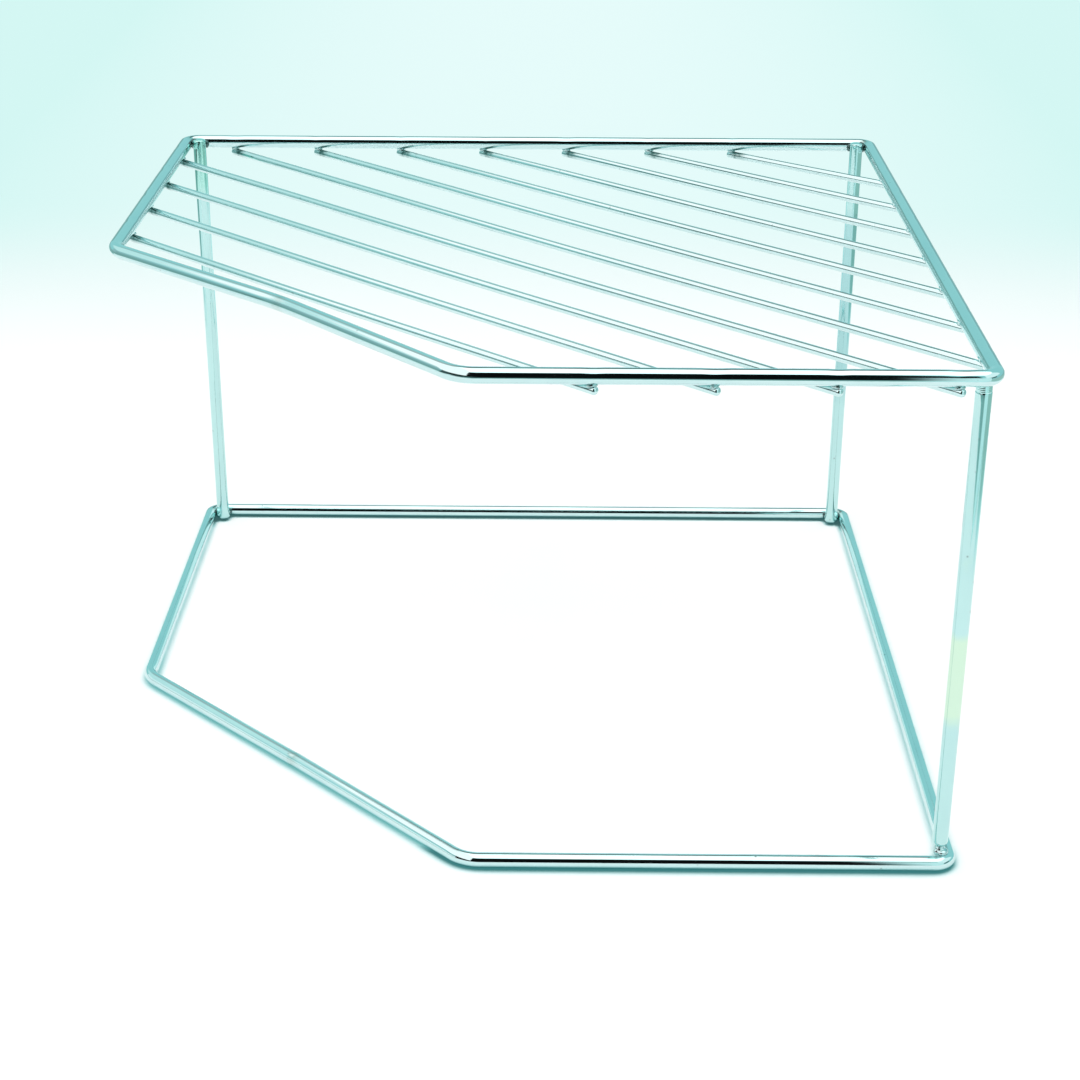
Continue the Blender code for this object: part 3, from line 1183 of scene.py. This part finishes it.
class FloorPaper:
    """The paper on the floor, white round the rack and pale cyan behind it, with the lower ring's close shadow."""

    def __init__(self) -> None:
        """Start the material and the nodes that its parts share."""
        self.material = bpy.data.materials.new("floor_paper")
        self.material.use_nodes = True
        g = self.graph = Graph(self.material.node_tree)
        self.place = g.node("SeparateXYZ", {0: g.node("TexCoord").outputs["Object"]}).outputs
        self.far = g.ramp(self.place["Y"], 0.26, 0.60)

    def paper_colour(self) -> Socket:
        """Colour the paper, a little deeper at the far sides.

        Returns:
            The colour.
        """
        g, place = self.graph, self.place
        side = g.times(g.math("POWER", g.math("ABSOLUTE", place["X"]), 2.0), 8.0, clamp=True)
        far = g.blend(side, (0.79, 0.97, 0.96, 1), (0.66, 0.93, 0.90, 1))
        return g.blend(self.far, (1.0, 1.0, 1.0, 1), far)

    def beyond_table(self) -> Socket:
        """Tell how far a floor point lies beyond the edge of the lit table, as the metal sees it.

        Returns:
            A share from 0 to 1.
        """
        g, place = self.graph, self.place
        slant = g.times(g.math("MINIMUM", g.larger(place["X"], 0.0), 0.3), 0.35)
        front = g.ramp(g.minus(slant, place["Y"]), 0.41, 0.46)
        nearer = g.times(g.ramp(place["Y"], 0.08, 0.16), 0.10)
        left = g.ramp(g.minus(place["X"], nearer), -0.42, -0.60)
        sides = g.larger(g.ramp(place["X"], 0.31, 0.42), left)
        ends = g.larger(front, g.ramp(place["Y"], 0.45, 0.65))
        return g.larger(ends, sides)

    def edge_colour(self) -> Socket:
        """Colour what lies beyond the table: darker toward the front, deep cyan at the back.

        Returns:
            The colour.
        """
        g, place = self.graph, self.place
        slope = g.math("DIVIDE", place["X"], g.larger(g.times(place["Y"], -1.0), 0.05))
        front = g.blend(g.ramp(place["Y"], -0.50, -0.80), (0.30, 0.50, 0.48, 1), (0.004, 0.006, 0.006, 1))
        front = g.blend(g.ramp(slope, 0.3, 1.2), front, (0.44, 0.64, 0.59, 1))
        left = g.blend(g.ramp(place["Y"], -0.05, -0.13), (0.26, 0.45, 0.43, 1), (0.06, 0.10, 0.095, 1))
        front = g.blend(g.ramp(place["X"], -0.20, -0.36), front, left)
        return g.blend(g.ramp(place["Y"], 0.40, 0.55), front, (0.32, 0.52, 0.51, 1))

    def contact_shadow(self) -> tuple[Socket, Socket]:
        """Find the close shadow under the lower ring, deepest along its front and back bars.

        Returns:
            The shadow's depth and its colour.
        """
        g, place = self.graph, self.place
        reach = g.minus(0.0045, g.times(place["Y"], 0.019))
        near = g.node("AmbientOcclusion", {"Distance": reach}, samples=12).outputs["AO"]
        bar = g.ramp(g.math("ABSOLUTE", place["Y"]), 0.108, 0.118)
        slanting = g.ramp(g.plus(place["X"], place["Y"]), -0.10, -0.13)
        depth = g.larger(g.times(slanting, 0.55), 0.30)
        depth = g.larger(g.times(bar, 0.93), depth)
        contact = g.times(g.ramp(near, 0.86, 0.39), depth)
        core = g.blend(g.ramp(place["Y"], -0.05, 0.05), (0.03, 0.15, 0.155, 1), (0.03, 0.06, 0.06, 1))
        core = g.blend(bar, (0.08, 0.26, 0.27, 1), core)
        return contact, g.blend(contact, (0.05, 0.85, 0.85, 1), core)

    def build(self) -> bpy.types.Material:
        """Put the paper together.

        Returns:
            The finished material.
        """
        g = self.graph
        sees = g.node("LightPath").outputs
        seen = g.larger(sees["Is Camera Ray"], sees["Is Glossy Ray"])
        seen = g.larger(seen, sees["Is Transmission Ray"])
        even = g.plus(g.times(self.far, 0.9), 0.1)
        away = g.times(self.beyond_table(), sees["Is Glossy Ray"])
        contact, shade = self.contact_shadow()
        colour = self.paper_colour()
        diffuse = g.node("BsdfDiffuse", {"Color": colour}).outputs[0]
        shown = g.node("Emission", {"Color": colour, "Strength": 1.0}).outputs[0]
        lit = g.node("MixShader", {0: g.times(seen, even), 1: diffuse, 2: shown}).outputs[0]
        dark = g.node("Emission", {"Color": g.blend(away, shade, self.edge_colour()), "Strength": 1.0}).outputs[0]
        cover = g.larger(away, g.times(seen, contact))
        g.node("OutputMaterial", {"Surface": g.node("MixShader", {0: cover, 1: lit, 2: dark}).outputs[0]})
        return self.material


@dataclass
class Studio:
    """Floor, cards, lamps, surroundings and camera.

    Attributes:
        camera_place: Place of the camera.
        yaw: Turn of the view to the right, in degrees.
        pitch: Downward tilt of the view, in degrees.
        roll: Turn of the picture, in degrees.
        lens: Focal length on a 36 mm square sensor.
        lamp_place: Middle of the soft box.
        lamp_size: Its width and depth.
        lamp_radiance: Its brightness, where 1 shows as white.
    """

    camera_place: Triple = (0.01020, -0.63039, 0.33289)
    yaw: float = -0.384
    pitch: float = 24.428
    roll: float = 0.24
    lens: float = 69.36
    lamp_place: Triple = (-0.025, -0.125, 1.3)
    lamp_size: tuple[float, float] = (2.35, 1.85)
    lamp_radiance: float = 1.95

    def build(self) -> None:
        """Set up everything round the rack."""
        self.set_camera()
        self.lay_floor()
        self.hang_lamp()
        for card in CARDS:
            card.stand()
        self.paint_surroundings()
        bpy.context.scene.view_settings.view_transform = "Standard"

    def set_camera(self) -> None:
        """Stand the camera where the photograph was taken from."""
        yaw, pitch, roll = (math.radians(v) for v in (self.yaw, self.pitch, self.roll))
        ahead = Vector((math.sin(yaw) * math.cos(pitch), math.cos(yaw) * math.cos(pitch), -math.sin(pitch)))
        right = Vector((math.cos(yaw), -math.sin(yaw), 0))
        above = right.cross(ahead)
        turned_right = right * math.cos(roll) + above * math.sin(roll)
        turned_above = above * math.cos(roll) - right * math.sin(roll)
        lens = bpy.data.cameras.new("camera")
        lens.sensor_fit, lens.sensor_width, lens.sensor_height, lens.lens = "HORIZONTAL", 36, 36, self.lens
        lens.clip_start, lens.clip_end = 0.01, 100
        camera = bpy.data.objects.new("camera", lens)
        bpy.context.scene.collection.objects.link(camera)
        turn = Matrix((turned_right, turned_above, -ahead)).transposed().to_4x4()
        camera.matrix_world = Matrix.Translation(self.camera_place) @ turn
        bpy.context.scene.camera = camera

    def lay_floor(self) -> None:
        """Lay the floor."""
        bpy.ops.mesh.primitive_plane_add(size=16, location=(0, 0, 0))
        floor = bpy.context.object
        floor.name = "floor"
        settle(floor)
        floor.data.materials.append(FloorPaper().build())

    def hang_lamp(self) -> None:
        """Hang the soft box over the rack, facing straight down."""
        width, depth = self.lamp_size
        light = bpy.data.lights.new("overhead_box", "AREA")
        light.shape, light.size, light.size_y = "RECTANGLE", width, depth
        light.energy = self.lamp_radiance * math.pi * width * depth
        lamp = bpy.data.objects.new("overhead_box", light)
        bpy.context.scene.collection.objects.link(lamp)
        lamp.location = self.lamp_place
        lamp.visible_camera = lamp.visible_glossy = False

    def paint_surroundings(self) -> None:
        """Paint the room that the metal sees, patch over patch."""
        world = bpy.data.worlds.new("room")
        bpy.context.scene.world = world
        world.use_nodes = True
        g = Graph(world.node_tree)
        direction = g.node("SeparateXYZ", {0: g.node("TexCoord").outputs["Generated"]}).outputs
        level = g.math("SQRT", g.minus(1.0, g.times(direction["Z"], direction["Z"]), clamp=True))
        room = (0.38, 0.73, 0.74, 1)
        for patch in PATCHES:
            turn, reach, low, high, blur = (
                math.radians(v) for v in (patch.turn, patch.reach, patch.low, patch.high, patch.blur)
            )
            ahead = g.times(direction["X"], math.sin(turn))
            ahead = g.plus(ahead, g.times(direction["Y"], math.cos(turn)))
            ahead = g.math("DIVIDE", ahead, level)
            share = g.ramp(ahead, math.cos(reach + blur), math.cos(reach - blur))
            share = g.times(share, g.ramp(direction["Z"], math.sin(low - blur), math.sin(low + blur)))
            share = g.times(share, g.ramp(direction["Z"], math.sin(high + blur), math.sin(high - blur)))
            room = g.blend(share, room, (*patch.colour, 1))
        dome = g.blend(g.ramp(direction["X"], -0.25, -0.42), (1.95, 1.95, 1.95, 1), (1.25, 1.27, 1.26, 1))
        room = g.blend(g.ramp(direction["Z"], 0.79, 0.86), room, dome)
        sees = g.node("LightPath").outputs
        colour = g.blend(sees["Is Glossy Ray"], (0.26, 0.28, 0.28, 1), room)
        colour = g.blend(sees["Is Camera Ray"], colour, (0.70, 0.94, 0.92, 1))
        shown = g.node("Background", {"Color": colour, "Strength": 1.0})
        g.node("OutputWorld", {"Surface": shown.outputs[0]})


def main() -> None:
    """Build the rack and its studio."""
    logging.basicConfig(level=logging.INFO, format="%(name)s: %(message)s")
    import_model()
    shop = Workshop(Finishes())
    rings = [
        BentRing(Level.UPPER, weld_pull=0.0042, weld_step=0.0, weld_length=0.006, weld_swell=0.0),
        BentRing(Level.LOWER, weld_pull=0.0006, weld_step=0.00012, weld_length=0.005, weld_swell=0.02),
    ]
    shelf_height = shop.level_of(Level.UPPER) - FRAME_WIRE / 2 - SEAT_GAP - SHELF_WIRE / 2
    crossings = ShelfLayout().crossings(shelf_height)
    shop.seats = [place for pair in crossings for place in pair]
    shop.welds = [ring.weld_place(shop.level_of(ring.level))[0] for ring in rings]
    # Besides the welds, marks toward the corner (side -1.9) paint shade into the crevice between a back leg and the
    # ring's corner.
    for place in (LegPlace.BACK_LEFT, LegPlace.BACK_RIGHT):
        shop.welds += [shop.weld_middle(place, level, side) for level in Level for side in (-1, -1.9)]
    for ring in rings:
        ring.build(shop)
    # Height and half length of each leg's band: painted shade on the back legs, a yellow-green tint on the front one.
    for place, bloom in zip(LegPlace, ((0.150, 0.022), (0.092, 0.045), (0.0615, 0.0165))):
        Leg(place, *bloom).build(shop)
        LegWelds(place).build(shop)
    for number, (start, end) in enumerate(crossings, 1):
        ShelfWire(number, start, end).build(shop)
    ShelfWelds(crossings, shelf_height + (SHELF_WIRE + SEAT_GAP) / 2).build(shop)
    Studio().build()
    LOG.info("%d pieces", len(shop.pieces))


if __name__ == "__main__":
    main()
